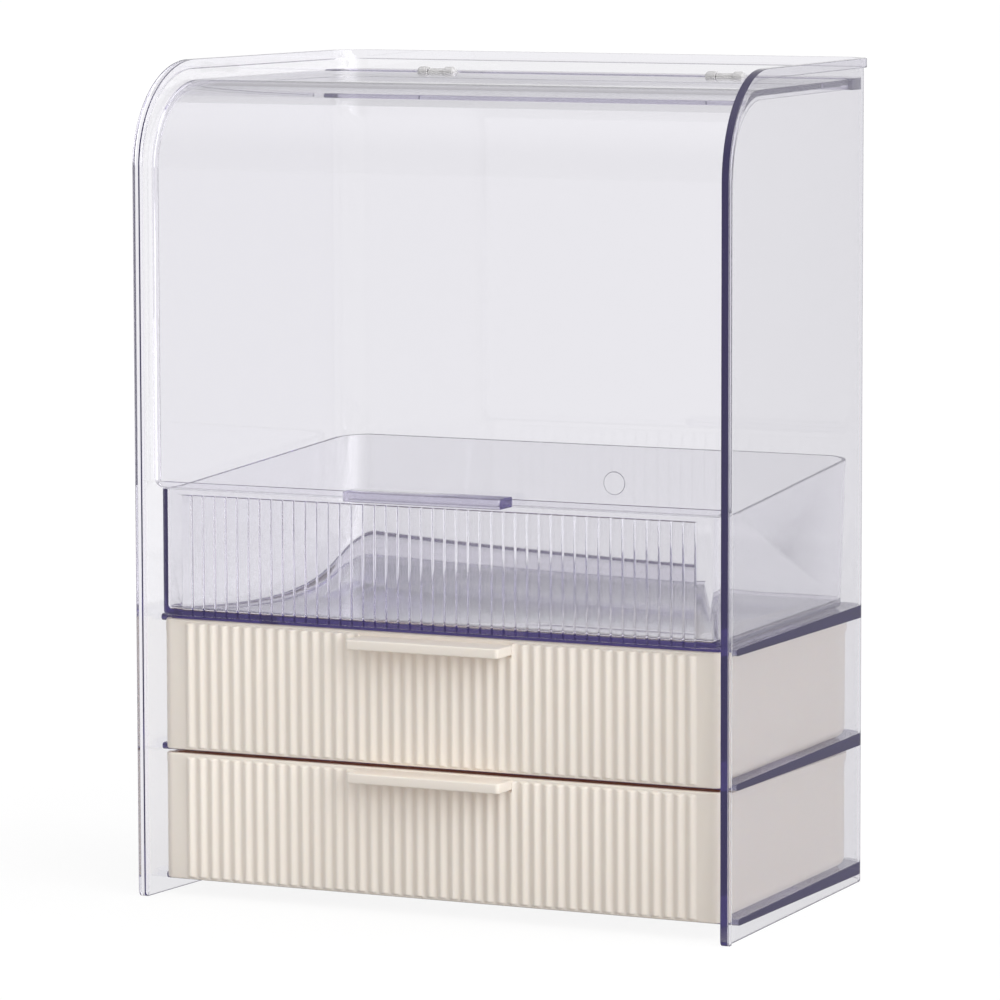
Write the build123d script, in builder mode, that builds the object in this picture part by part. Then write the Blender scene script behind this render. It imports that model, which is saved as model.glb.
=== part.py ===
"""Makeup display case: a clear case with a lift-up lid, a loose tray and two reeded drawers.

The origin is at the middle of the footprint, on the table. +Z is up and the case opens to -Y.
"""

from build123d import *

import math
import os

os.makedirs("parts", exist_ok=True)

# Case moulding. Depths are measured backward from the case's front edge.
case_height = 375
case_depth = 185
front_half_width = 143.6
side_draft = 3
wall = 2.5
rear_corner_radius = 14
top_arc_radius = 47
foot_radius = 2.5

# Raised rim along the case's front, top and rear edges
rim_proud = 1.4
rim_width = 4.2

# Shelves, from the lowest up. Their tops are level and their undersides have a moulding draft.
shelf_tops = (8.8, 68.2, 126.8)
shelf_setbacks = (18, 15, 15)
shelf_front_thickness = 2.6
shelf_rear_thickness = 5.6

# Gate mark on the back wall
gate_radius = 5.35
gate_recess = 0.8
gate_across = 7
gate_height = 176

# Fixed bar across the back of the top
bar_reach = 24
bar_thickness = 5.3
bar_step = 0.3
bar_edge_radius = 1.5

# Hinges. The pin is fixed in the base, and the leaf turns on it. The axis is at the lid's top
# face, in the middle of the seam between the lid and the bar.
hinge_across = 72.8
seam_width = 3
hinge_length = 19.5
hinge_end_radius = 2.6
hinge_end_chamfer = 1.2
hinge_middle_length = 8.2
hinge_middle_radius = 1.8
hinge_pin_radius = 0.8
hinge_pin_length = 16.5
leaf_reach = 9
leaf_thickness = 1.2
hinge_gap = 0.4
running_clearance = 0.05

# Lid: one curved sheet, with a rib along each side edge and a flange at its lower edge. The
# ribs end a little in front of its rear edge.
lid_front_depth = 7.5
lid_recess = 9
lid_arc_step = 8
lid_thickness = 2.6
lid_rib_depth = 2
lid_rib_width = 1.6
lid_rib_end_space = 10
lid_flange_height = 2.6
lid_side_gap = 1.2
lid_tray_gap = 0.5
lid_corner_radius = 5

# Handle bars
handle_overhang = 4.8
handle_corner_radius = 2
handle_edge_chamfer = 0.6
lid_handle_width = 77.4
lid_handle_thickness = 4.6
lid_handle_drop = 0.5
drawer_handle_width = 75.2
drawer_handle_thickness = 4.4
drawer_handle_drop = 0.8

# Reeds on the tray and on the drawer fronts. Each is a round one drawn with a few flats.
reed_count = 44
reed_flats = 8
reed_side_margin = 10.9
reed_proud = 1.5
reed_root = 0.6

# Tray. Its rear wall leans back from its floor to its top.
tray_front_depth = 8.4
tray_rear_space_low = 15
tray_rear_space_high = 8.5
tray_side_gap = 4.1
tray_corner_radius = 14
tray_wall = 2
tray_floor = 2.7
tray_foot_height = 0.4
tray_foot_width = 3
tray_foot_across = 110
tray_foot_depths = (28, 120)
tray_front_height = 57.2
tray_rear_height = 67.4
tray_rim_slope_start = 27
tray_reed_drop = 2.2

# Drawers. Heights are measured up from the top of the shelf that a drawer stands on.
drawer_front_depth = 10
drawer_rear_space = 17
drawer_side_gap_front = 3.6
drawer_side_gap_rear = 1.7
drawer_front_bottom = -1.1
drawer_front_gap = 2.5
drawer_front_thickness = 2.5
drawer_front_radius = 2.2
drawer_front_chamfer = 0.8
drawer_body_lift = 0.3
drawer_wall = 2
drawer_corner_radius = 12
drawer_bottom_radius = 5
drawer_floor_chamfer = 1.5
drawer_rim_gap = 0.6
drawer_bead_height = 3.9
drawer_bead_proud = 0.8
drawer_reed_margin = 1.4

# How far a cutting shape reaches past the faces that it cuts
margin = 1

front_y = (handle_overhang - case_depth - rim_proud) / 2

lid_top = case_height - lid_recess
lid_arc_radius = top_arc_radius - lid_arc_step
bar_top = lid_top + bar_step
bar_bottom = bar_top - bar_thickness
bar_front_depth = case_depth - bar_reach
lid_rear_depth = bar_front_depth - seam_width
lid_rib_end_depth = lid_rear_depth - lid_rib_end_space
hinge_axis_depth = bar_front_depth - seam_width / 2
hinge_axis_height = lid_top

tray_bottom = shelf_tops[-1] + tray_foot_height
tray_front_rim = tray_bottom + tray_front_height
tray_rear_rim = tray_bottom + tray_rear_height
tray_reed_top = tray_front_rim - tray_reed_drop
tray_rear_depth_low = case_depth - tray_rear_space_low
tray_rear_depth_high = case_depth - tray_rear_space_high
lid_bottom = tray_front_rim + lid_tray_gap
lid_handle_bottom = lid_bottom - lid_handle_drop


def from_front(depth_in):
    """Give the Y of a place that lies depth_in behind the case's front edge."""
    return front_y + depth_in


def half_width_at(depth_in):
    """Give half the case's outer width at a depth: the side walls draw in to the rear."""
    return front_half_width - depth_in * math.tan(math.radians(side_draft))


drawer_rear_depth = case_depth - drawer_rear_space
drawer_front_half_width = half_width_at(drawer_front_depth) - wall - drawer_side_gap_front
drawer_rear_half_width = half_width_at(drawer_rear_depth) - wall - drawer_side_gap_rear
reed_pitch = 2 * (drawer_front_half_width - reed_side_margin) / reed_count


def plan(front_depth, rear_depth, front_half, rear_half, height, rear_radius=0, front_radius=0):
    """Draw a plan outline with straight tapering sides and rounded corners."""
    with BuildSketch(Plane.XY.offset(height)) as outline:
        with BuildLine():
            Polyline(
                (-front_half, from_front(front_depth)),
                (front_half, from_front(front_depth)),
                (rear_half, from_front(rear_depth)),
                (-rear_half, from_front(rear_depth)),
                close=True,
            )
        make_face()
        if rear_radius:
            fillet(outline.vertices().group_by(Axis.Y)[-1], radius=rear_radius)
        if front_radius:
            fillet(outline.vertices().group_by(Axis.Y)[0], radius=front_radius)
    return outline.sketch


def wall_plan(reach, front_depth, rear_depth, height, rear_radius=0):
    """Draw a plan outline whose sides run parallel to the side walls, reach outside them."""
    return plan(
        front_depth,
        rear_depth,
        half_width_at(front_depth) + reach,
        half_width_at(rear_depth) + reach,
        height,
        rear_radius,
    )


def side_profile(front_depth, rear_depth, bottom, top, arc_radius, lower_radius=0):
    """Draw a side outline with its upper front corner rounded, and its lower one if asked."""
    with BuildSketch(Plane.YZ) as outline:
        with BuildLine():
            Polyline(
                (from_front(front_depth), bottom),
                (from_front(rear_depth), bottom),
                (from_front(rear_depth), top),
                (from_front(front_depth), top),
                close=True,
            )
        make_face()
        front_corners = outline.vertices().group_by(Axis.X)[0].sort_by(Axis.Y)
        fillet(front_corners[-1], radius=arc_radius)
        if lower_radius:
            fillet(front_corners[0], radius=lower_radius)
    return outline.sketch


def side_polygon(points):
    """Draw a side outline from pairs of a depth and a height."""
    with BuildSketch(Plane.YZ) as outline:
        with BuildLine():
            Polyline(*[(from_front(depth_in), height) for depth_in, height in points], close=True)
        make_face()
    return outline.sketch


def shelf_underside(shelf_top, depth_in):
    """Give the height of a shelf's sloping underside at a depth."""
    front_setback = shelf_setbacks[-1]
    share = (depth_in - front_setback) / (case_depth - front_setback)
    thickness = shelf_front_thickness + share * (shelf_rear_thickness - shelf_front_thickness)
    return shelf_top - thickness


def reed_rows(base_depth, height):
    """Draw the plan section of a row of reeds that stand proud of a front face."""
    half_row = reed_count * reed_pitch / 2
    base_y = from_front(base_depth)
    radius = ((reed_pitch / 2) ** 2 + reed_proud**2) / (2 * reed_proud)
    half_turn = math.asin(reed_pitch / 2 / radius)
    turns = [half_turn * (2 * step / reed_flats - 1) for step in range(reed_flats)]
    points = []
    for place in range(reed_count):
        middle = (place + 0.5) * reed_pitch - half_row
        for turn in turns:
            rise = radius * (math.cos(turn) - math.cos(half_turn))
            points.append((middle + radius * math.sin(turn), base_y - rise))
    points += [
        (half_row, base_y),
        (half_row, base_y + reed_root),
        (-half_row, base_y + reed_root),
    ]
    with BuildSketch(Plane.XY.offset(height)) as row:
        with BuildLine():
            Polyline(*points, close=True)
        make_face()
    return row.sketch


# Case shell

rim_rear_depth = case_depth + rim_proud
rim_corner_radius = rear_corner_radius + rim_proud
inner_corner_radius = rear_corner_radius - wall

with BuildPart() as rim:
    extrude(
        wall_plan(rim_proud, 0, rim_rear_depth, 0, rim_corner_radius),
        amount=case_height,
    )
    extrude(
        side_profile(
            rim_width,
            rim_rear_depth + margin,
            -margin,
            case_height - rim_width,
            top_arc_radius - rim_width,
        ),
        amount=front_half_width + rim_proud + margin,
        both=True,
        mode=Mode.SUBTRACT,
    )

with BuildPart() as shelves:
    for shelf_top, setback in zip(shelf_tops, shelf_setbacks):
        extrude(
            side_polygon(
                (
                    (setback, shelf_top),
                    (setback, shelf_top - shelf_front_thickness),
                    (case_depth, shelf_top - shelf_rear_thickness),
                    (case_depth, shelf_top),
                )
            ),
            amount=front_half_width,
            both=True,
        )
    extrude(
        wall_plan(-wall / 2, 0, case_depth - wall / 2, 0, rear_corner_radius - wall / 2),
        amount=case_height,
        mode=Mode.INTERSECT,
    )

with BuildPart() as case_shell:
    extrude(wall_plan(0, 0, case_depth, 0, rear_corner_radius), amount=case_height)
    add(rim.part)
    extrude(
        wall_plan(-wall, -margin, case_depth - wall, 0, inner_corner_radius),
        amount=case_height,
        mode=Mode.SUBTRACT,
    )
    add(shelves.part)
    extrude(
        side_profile(0, rim_rear_depth, 0, case_height, top_arc_radius, foot_radius),
        amount=front_half_width + rim_proud,
        both=True,
        mode=Mode.INTERSECT,
    )
    with BuildSketch(Plane.XZ.offset(-from_front(case_depth))):
        with Locations((gate_across, gate_height)):
            Circle(gate_radius)
    extrude(amount=gate_recess, mode=Mode.SUBTRACT)

case_shell.part.label = "case_shell"
export_step(case_shell.part, "parts/case_shell.step")


# Rear top bar, with a notch for each hinge's knuckles and a rebate for its leaf

hinge_centres = (-hinge_across, hinge_across)
notch_half = hinge_end_radius + hinge_gap
notch_width = hinge_length + 2 * hinge_gap
leaf_floor = hinge_axis_height - leaf_thickness

with BuildPart() as rear_top_bar:
    extrude(
        wall_plan(-wall, bar_front_depth, case_depth - wall, bar_bottom, inner_corner_radius),
        amount=bar_top - bar_bottom,
    )
    front_face = rear_top_bar.faces().sort_by(Axis.Y)[0]
    fillet(front_face.edges().filter_by(Axis.X), radius=bar_edge_radius)
    for centre in hinge_centres:
        with BuildSketch(Plane.XY.offset(bar_bottom - margin)):
            with Locations((centre, from_front(hinge_axis_depth))):
                Rectangle(notch_width, 2 * notch_half)
        extrude(amount=bar_top - bar_bottom + 2 * margin, mode=Mode.SUBTRACT)
        with BuildSketch(Plane.XY.offset(leaf_floor)):
            with Locations((centre, from_front(hinge_axis_depth))):
                Rectangle(notch_width, 2 * (leaf_reach + hinge_gap))
        extrude(amount=bar_top - leaf_floor + margin, mode=Mode.SUBTRACT)

rear_top_bar.part.label = "rear_top_bar"
export_step(rear_top_bar.part, "parts/rear_top_bar.step")


# Lid

sheet_half_gap = wall + lid_side_gap
lid_band_depth = lid_thickness + lid_rib_depth
lid_front_half_width = half_width_at(lid_front_depth) - sheet_half_gap

with BuildPart() as lid_hollow:
    extrude(
        side_profile(
            lid_front_depth + lid_thickness,
            lid_rear_depth + margin,
            lid_bottom + lid_flange_height,
            lid_top - lid_thickness,
            lid_arc_radius - lid_thickness,
        ),
        amount=front_half_width,
        both=True,
    )
    extrude(
        wall_plan(-sheet_half_gap - lid_rib_width, 0, case_depth, 0),
        amount=case_height,
        mode=Mode.INTERSECT,
    )

with BuildPart() as lid:
    extrude(
        side_profile(lid_front_depth, lid_rear_depth, lid_bottom, lid_top, lid_arc_radius),
        amount=front_half_width,
        both=True,
    )
    extrude(
        side_profile(
            lid_front_depth + lid_band_depth,
            lid_rear_depth + margin,
            lid_bottom - margin,
            lid_top - lid_band_depth,
            lid_arc_radius - lid_band_depth,
        ),
        amount=front_half_width + margin,
        both=True,
        mode=Mode.SUBTRACT,
    )
    extrude(
        wall_plan(-sheet_half_gap, 0, case_depth, 0),
        amount=case_height,
        mode=Mode.INTERSECT,
    )
    add(lid_hollow.part, mode=Mode.SUBTRACT)
    extrude(
        side_polygon(
            (
                (lid_rib_end_depth, lid_top - lid_thickness),
                (lid_rib_end_depth, lid_top - lid_band_depth - margin),
                (lid_rear_depth + margin, lid_top - lid_band_depth - margin),
                (lid_rear_depth + margin, lid_top - lid_thickness),
            )
        ),
        amount=front_half_width,
        both=True,
        mode=Mode.SUBTRACT,
    )
    with BuildSketch(Plane.XZ.offset(-from_front(case_depth))) as lid_front_view:
        with BuildLine():
            Polyline(
                (-lid_front_half_width, lid_bottom),
                (lid_front_half_width, lid_bottom),
                (lid_front_half_width, case_height),
                (-lid_front_half_width, case_height),
                close=True,
            )
        make_face()
        fillet(lid_front_view.vertices().group_by(Axis.Y)[0], radius=lid_corner_radius)
    extrude(amount=case_depth, mode=Mode.INTERSECT)
    for centre in hinge_centres:
        with BuildSketch(Plane.XY.offset(lid_top - lid_band_depth - margin)):
            with Locations((centre, from_front(hinge_axis_depth))):
                Rectangle(notch_width, 2 * notch_half)
        extrude(amount=lid_band_depth + 2 * margin, mode=Mode.SUBTRACT)
        with BuildSketch(Plane.XY.offset(leaf_floor)):
            with Locations((centre, from_front(hinge_axis_depth))):
                Rectangle(notch_width, 2 * (leaf_reach + hinge_gap))
        extrude(amount=lid_top - leaf_floor + margin, mode=Mode.SUBTRACT)

lid.part.label = "lid"
export_step(lid.part, "parts/lid.step")


# Hinges


def make_hinge(side, centre):
    """Make and write one hinge: its base with two knuckles, its leaf with one, and its pin."""
    axis_y = from_front(hinge_axis_depth)
    end_length = (hinge_length - hinge_middle_length) / 2 - hinge_gap
    left_end = centre - hinge_length / 2
    middle_start = centre - hinge_middle_length / 2
    right_start = centre + hinge_length / 2 - end_length
    pin_start = centre - hinge_pin_length / 2
    middle_slot = hinge_middle_length + 2 * hinge_gap

    with BuildPart() as base:
        for start in (left_end, right_start):
            with BuildSketch(Plane.YZ.offset(start)):
                with Locations((axis_y, hinge_axis_height)):
                    Circle(hinge_end_radius)
            extrude(amount=end_length)
        round_edges = base.edges().filter_by(GeomType.CIRCLE).sort_by(Axis.X)
        chamfer((round_edges[0], round_edges[-1]), length=hinge_end_chamfer)
        with BuildSketch(Plane.XY.offset(leaf_floor)):
            with Locations((centre, axis_y + leaf_reach / 2)):
                Rectangle(hinge_length, leaf_reach)
            with Locations((centre, axis_y)):
                Rectangle(
                    middle_slot,
                    2 * (hinge_middle_radius + hinge_gap),
                    mode=Mode.SUBTRACT,
                )
        extrude(amount=leaf_thickness)
        with BuildSketch(Plane.YZ.offset(pin_start)):
            with Locations((axis_y, hinge_axis_height)):
                Circle(hinge_pin_radius)
        extrude(amount=hinge_pin_length, mode=Mode.SUBTRACT)

    with BuildPart() as leaf:
        with BuildSketch(Plane.YZ.offset(middle_start)):
            with Locations((axis_y, hinge_axis_height)):
                Circle(hinge_middle_radius)
        extrude(amount=hinge_middle_length)
        plate_start = hinge_end_radius + hinge_gap
        plate_length = leaf_reach - plate_start
        with BuildSketch(Plane.XY.offset(leaf_floor)):
            with Locations((centre, axis_y - leaf_reach / 2)):
                Rectangle(hinge_middle_length, leaf_reach)
            with Locations((centre, axis_y - plate_start - plate_length / 2)):
                Rectangle(hinge_length, plate_length)
        extrude(amount=leaf_thickness)
        with BuildSketch(Plane.YZ.offset(middle_start)):
            with Locations((axis_y, hinge_axis_height)):
                Circle(hinge_pin_radius + running_clearance)
        extrude(amount=hinge_middle_length, mode=Mode.SUBTRACT)

    with BuildPart() as pin:
        with BuildSketch(Plane.YZ.offset(pin_start)):
            with Locations((axis_y, hinge_axis_height)):
                Circle(hinge_pin_radius)
        extrude(amount=hinge_pin_length)

    for piece, role in ((base, "base"), (leaf, "leaf"), (pin, "pin")):
        piece.part.label = f"{side}_hinge_{role}"
        export_step(piece.part, f"parts/{side}_hinge_{role}.step")


for side, centre in zip(("left", "right"), hinge_centres):
    make_hinge(side, centre)


# Handle bars


def make_handle(name, width, bottom, thickness, rear_depth):
    """Make and write one handle bar, from its front overhang back to the face it is fixed to."""
    with BuildPart() as bar:
        extrude(
            plan(
                -handle_overhang,
                rear_depth,
                width / 2,
                width / 2,
                bottom,
                front_radius=handle_corner_radius,
            ),
            amount=thickness,
        )
        rear_face = bar.faces().sort_by(Axis.Y)[-1]
        outer_edges = bar.edges() - rear_face.edges()
        level_edges = outer_edges.group_by(Axis.Z)
        chamfer(level_edges[0] + level_edges[-1], length=handle_edge_chamfer)
    bar.part.label = name
    export_step(bar.part, f"parts/{name}.step")


make_handle(
    "lid_handle",
    lid_handle_width,
    lid_handle_bottom,
    lid_handle_thickness,
    lid_front_depth,
)


# Tray


def tray_block(bottom, inset):
    """Make the tray's block from a height up to its rear rim, moved inward by inset."""
    share = (bottom - tray_bottom) / tray_rear_height
    rear_depth = tray_rear_depth_low + share * (tray_rear_depth_high - tray_rear_depth_low)
    with BuildPart() as block:
        extrude(
            wall_plan(-wall - tray_side_gap - inset, 0, case_depth, bottom),
            amount=tray_rear_rim - bottom,
        )
        extrude(
            side_polygon(
                (
                    (tray_front_depth + inset, bottom),
                    (rear_depth - inset, bottom),
                    (tray_rear_depth_high - inset, tray_rear_rim),
                    (tray_front_depth + inset, tray_rear_rim),
                )
            ),
            amount=front_half_width,
            both=True,
            mode=Mode.INTERSECT,
        )
        rear_face = block.faces().sort_by(Axis.Y)[-1]
        fillet(
            rear_face.edges().filter_by(Axis.X, reverse=True),
            radius=tray_corner_radius - inset,
        )
    return block.part


with BuildPart() as tray_reeds:
    extrude(reed_rows(tray_front_depth, tray_bottom), amount=tray_reed_top - tray_bottom)

with BuildPart() as tray:
    add(tray_block(tray_bottom, 0))
    add(tray_reeds.part)
    add(tray_block(tray_bottom + tray_floor, tray_wall), mode=Mode.SUBTRACT)
    extrude(
        side_polygon(
            (
                (0, tray_front_rim),
                (tray_rim_slope_start, tray_front_rim),
                (tray_rear_depth_high, tray_rear_rim),
                (tray_rear_depth_high, tray_rear_rim + margin),
                (0, tray_rear_rim + margin),
            )
        ),
        amount=front_half_width,
        both=True,
        mode=Mode.SUBTRACT,
    )
    with BuildSketch(Plane.XY.offset(tray_bottom - tray_foot_height)):
        for foot_depth in tray_foot_depths:
            for across in (-tray_foot_across, tray_foot_across):
                with Locations((across, from_front(foot_depth))):
                    Rectangle(tray_foot_width, tray_foot_width)
    extrude(amount=tray_foot_height)

tray.part.label = "tray"
export_step(tray.part, "parts/tray.step")


# Drawers

storey_height = min(upper - lower for lower, upper in zip(shelf_tops, shelf_tops[1:]))
drawer_front_top = storey_height - drawer_front_gap


def drawer_rim(depth_in):
    """Give the height of a drawer's rim above its shelf: it follows the next shelf's underside."""
    return shelf_underside(storey_height, depth_in) - drawer_rim_gap


def drawer_plan(front_depth, reach, height, rear_radius=0, front_radius=0):
    """Draw a drawer's outline from a depth to its rear, reach outside the drawer's sides."""
    narrowing = (drawer_front_half_width - drawer_rear_half_width) / (
        drawer_rear_depth - drawer_front_depth
    )
    front_half = drawer_front_half_width - narrowing * (front_depth - drawer_front_depth)
    return plan(
        front_depth,
        drawer_rear_depth + reach,
        front_half + reach,
        drawer_rear_half_width + reach,
        height,
        rear_radius,
        front_radius,
    )


def make_drawer(name, shelf_top):
    """Make and write one drawer: its reeded front, and the box behind it."""
    body_bottom = shelf_top + drawer_body_lift
    front_bottom = shelf_top + drawer_front_bottom
    front_top = shelf_top + drawer_front_top
    front_inner_depth = drawer_front_depth + drawer_front_thickness
    handle_bottom = front_top - drawer_handle_drop - drawer_handle_thickness
    front_rim = shelf_top + drawer_rim(front_inner_depth)
    rear_rim = shelf_top + drawer_rim(drawer_rear_depth)
    reed_low = front_bottom + drawer_reed_margin
    reed_high = front_top - drawer_reed_margin

    with BuildPart() as reeds:
        extrude(reed_rows(drawer_front_depth, reed_low), amount=reed_high - reed_low)
        with BuildSketch(Plane.XY.offset(handle_bottom - drawer_reed_margin)):
            with Locations((0, from_front(drawer_front_depth) - handle_overhang / 2)):
                Rectangle(drawer_handle_width + reed_pitch, handle_overhang)
        extrude(amount=front_top - handle_bottom, mode=Mode.SUBTRACT)

    with BuildPart() as bead:
        extrude(
            drawer_plan(
                front_inner_depth,
                drawer_bead_proud,
                body_bottom,
                drawer_corner_radius + drawer_bead_proud,
            ),
            amount=front_top - body_bottom,
        )
        extrude(
            side_polygon(
                (
                    (front_inner_depth, front_rim),
                    (front_inner_depth, front_rim - drawer_bead_height),
                    (drawer_rear_depth + margin, rear_rim - drawer_bead_height),
                    (drawer_rear_depth + margin, rear_rim),
                )
            ),
            amount=front_half_width,
            both=True,
            mode=Mode.INTERSECT,
        )

    with BuildPart() as hollow:
        extrude(
            drawer_plan(
                front_inner_depth,
                -drawer_wall,
                body_bottom + drawer_wall,
                drawer_corner_radius - drawer_wall,
            ),
            amount=front_top - body_bottom,
        )
        floor_edges = hollow.faces().sort_by(Axis.Z)[0].edges()
        chamfer(floor_edges, length=drawer_floor_chamfer)

    with BuildPart() as front_panel:
        extrude(
            plan(
                drawer_front_depth,
                front_inner_depth,
                drawer_front_half_width,
                drawer_front_half_width,
                front_bottom,
                front_radius=drawer_front_radius,
            ),
            amount=front_top - front_bottom,
        )
        flat_ends = front_panel.faces().filter_by(Axis.Z)
        rear_edges = front_panel.faces().sort_by(Axis.Y)[-1].edges()
        chamfer(flat_ends.edges() - rear_edges, length=drawer_front_chamfer)

    with BuildPart() as drawer:
        extrude(
            drawer_plan(front_inner_depth, 0, body_bottom, drawer_corner_radius),
            amount=front_top - body_bottom,
        )
        floor_edges = drawer.faces().sort_by(Axis.Z)[0].edges()
        front_edge = floor_edges.sort_by(Axis.Y)[0]
        fillet(floor_edges - [front_edge], radius=drawer_bottom_radius)
        extrude(
            side_polygon(
                (
                    (front_inner_depth, front_rim),
                    (drawer_rear_depth + margin, rear_rim),
                    (drawer_rear_depth + margin, front_top + margin),
                    (front_inner_depth, front_top + margin),
                )
            ),
            amount=front_half_width,
            both=True,
            mode=Mode.SUBTRACT,
        )
        add(bead.part)
        add(hollow.part, mode=Mode.SUBTRACT)
        add(front_panel.part)
        add(reeds.part)

    drawer.part.label = name
    export_step(drawer.part, f"parts/{name}.step")
    make_handle(
        f"{name}_handle",
        drawer_handle_width,
        handle_bottom,
        drawer_handle_thickness,
        drawer_front_depth,
    )


for name, shelf_top in zip(("lower_drawer", "upper_drawer"), shelf_tops):
    make_drawer(name, shelf_top)
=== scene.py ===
"""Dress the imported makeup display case: its looks, its light and its camera.

Every size is in millimetres and is scaled to metres once, when a form becomes an object; only the
distances inside a finish are in metres. A depth is measured backward from the case's front edge,
as in the part's own source.
"""

from __future__ import annotations

import logging
import math
from dataclasses import dataclass, field
from enum import Enum
from typing import Callable, Iterable

import bmesh
import bpy
from mathutils import Matrix, Vector

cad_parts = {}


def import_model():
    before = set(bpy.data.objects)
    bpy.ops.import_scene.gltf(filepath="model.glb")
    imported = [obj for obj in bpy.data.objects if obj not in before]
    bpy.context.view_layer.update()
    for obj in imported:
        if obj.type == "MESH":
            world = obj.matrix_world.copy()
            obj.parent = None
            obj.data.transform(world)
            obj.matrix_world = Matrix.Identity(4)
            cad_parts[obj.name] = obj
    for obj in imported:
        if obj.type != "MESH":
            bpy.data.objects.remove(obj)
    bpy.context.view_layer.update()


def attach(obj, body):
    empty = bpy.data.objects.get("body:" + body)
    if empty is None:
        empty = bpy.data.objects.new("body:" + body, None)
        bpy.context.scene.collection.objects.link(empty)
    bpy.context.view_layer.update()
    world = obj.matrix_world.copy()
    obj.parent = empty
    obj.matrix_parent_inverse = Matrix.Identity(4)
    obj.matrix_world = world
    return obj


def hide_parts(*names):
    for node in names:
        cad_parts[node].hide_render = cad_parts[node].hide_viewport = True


LOG = logging.getLogger("makeup_case")

# A millimetre in metres, the Y of the case's front edge and a depth near its middle.
METRES = 0.001
FRONT_Y = -90.8
MIDDLE = 90.0
# The side walls' slope, and how far a cutting form reaches past what it cuts.
DRAFT = math.tan(math.radians(3.0))
REACH = 40.0
# The turns that lay an upright form across the case and backward.
ACROSS = Matrix.Rotation(math.pi / 2, 4, "Y")
BACKWARD = Matrix.Rotation(math.pi / 2, 4, "X")
# The distances within which two places count as one and two corners are welded.
NEAR = 0.001
WELD = 0.0005
# The angles from which two faces count as bent, as sharp and as square to each other.
BENT = math.radians(0.2)
SHARP = math.radians(35.0)
SQUARE = 1.2

Span = tuple[float, float]
Colour = tuple[float, float, float]
Edge = bmesh.types.BMEdge
Material = bpy.types.Material
Socket = bpy.types.NodeSocket
Inputs = dict[str | int, float | Colour | Socket]


class Joining(Enum):
    """How one form acts on another."""

    CUT = "DIFFERENCE"
    KEEP = "INTERSECT"
    ADD = "UNION"


class Body(Enum):
    """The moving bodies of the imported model."""

    CASE = "case"
    LID = "lid"
    UPPER_DRAWER = "upper_drawer"
    LOWER_DRAWER = "lower_drawer"


class Slot(Enum):
    """The record's material slots."""

    CLEAR = "clear_plastic"
    CREAM = "cream_plastic"
    MILKY = "milky_plastic"


@dataclass(frozen=True)
class Plan:
    """A four-cornered outline at one height, seen from above."""

    front: float
    rear: float
    front_half: float
    rear_half: float
    height: float

    def corners(self) -> list[Vector]:
        """Give the four corners, from the front left one round to the rear left one."""
        across = (-self.front_half, self.front_half, self.rear_half, -self.rear_half)
        depths = (self.front, self.front, self.rear, self.rear)
        return [Vector((x, FRONT_Y + depth, self.height)) for x, depth in zip(across, depths)]


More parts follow.
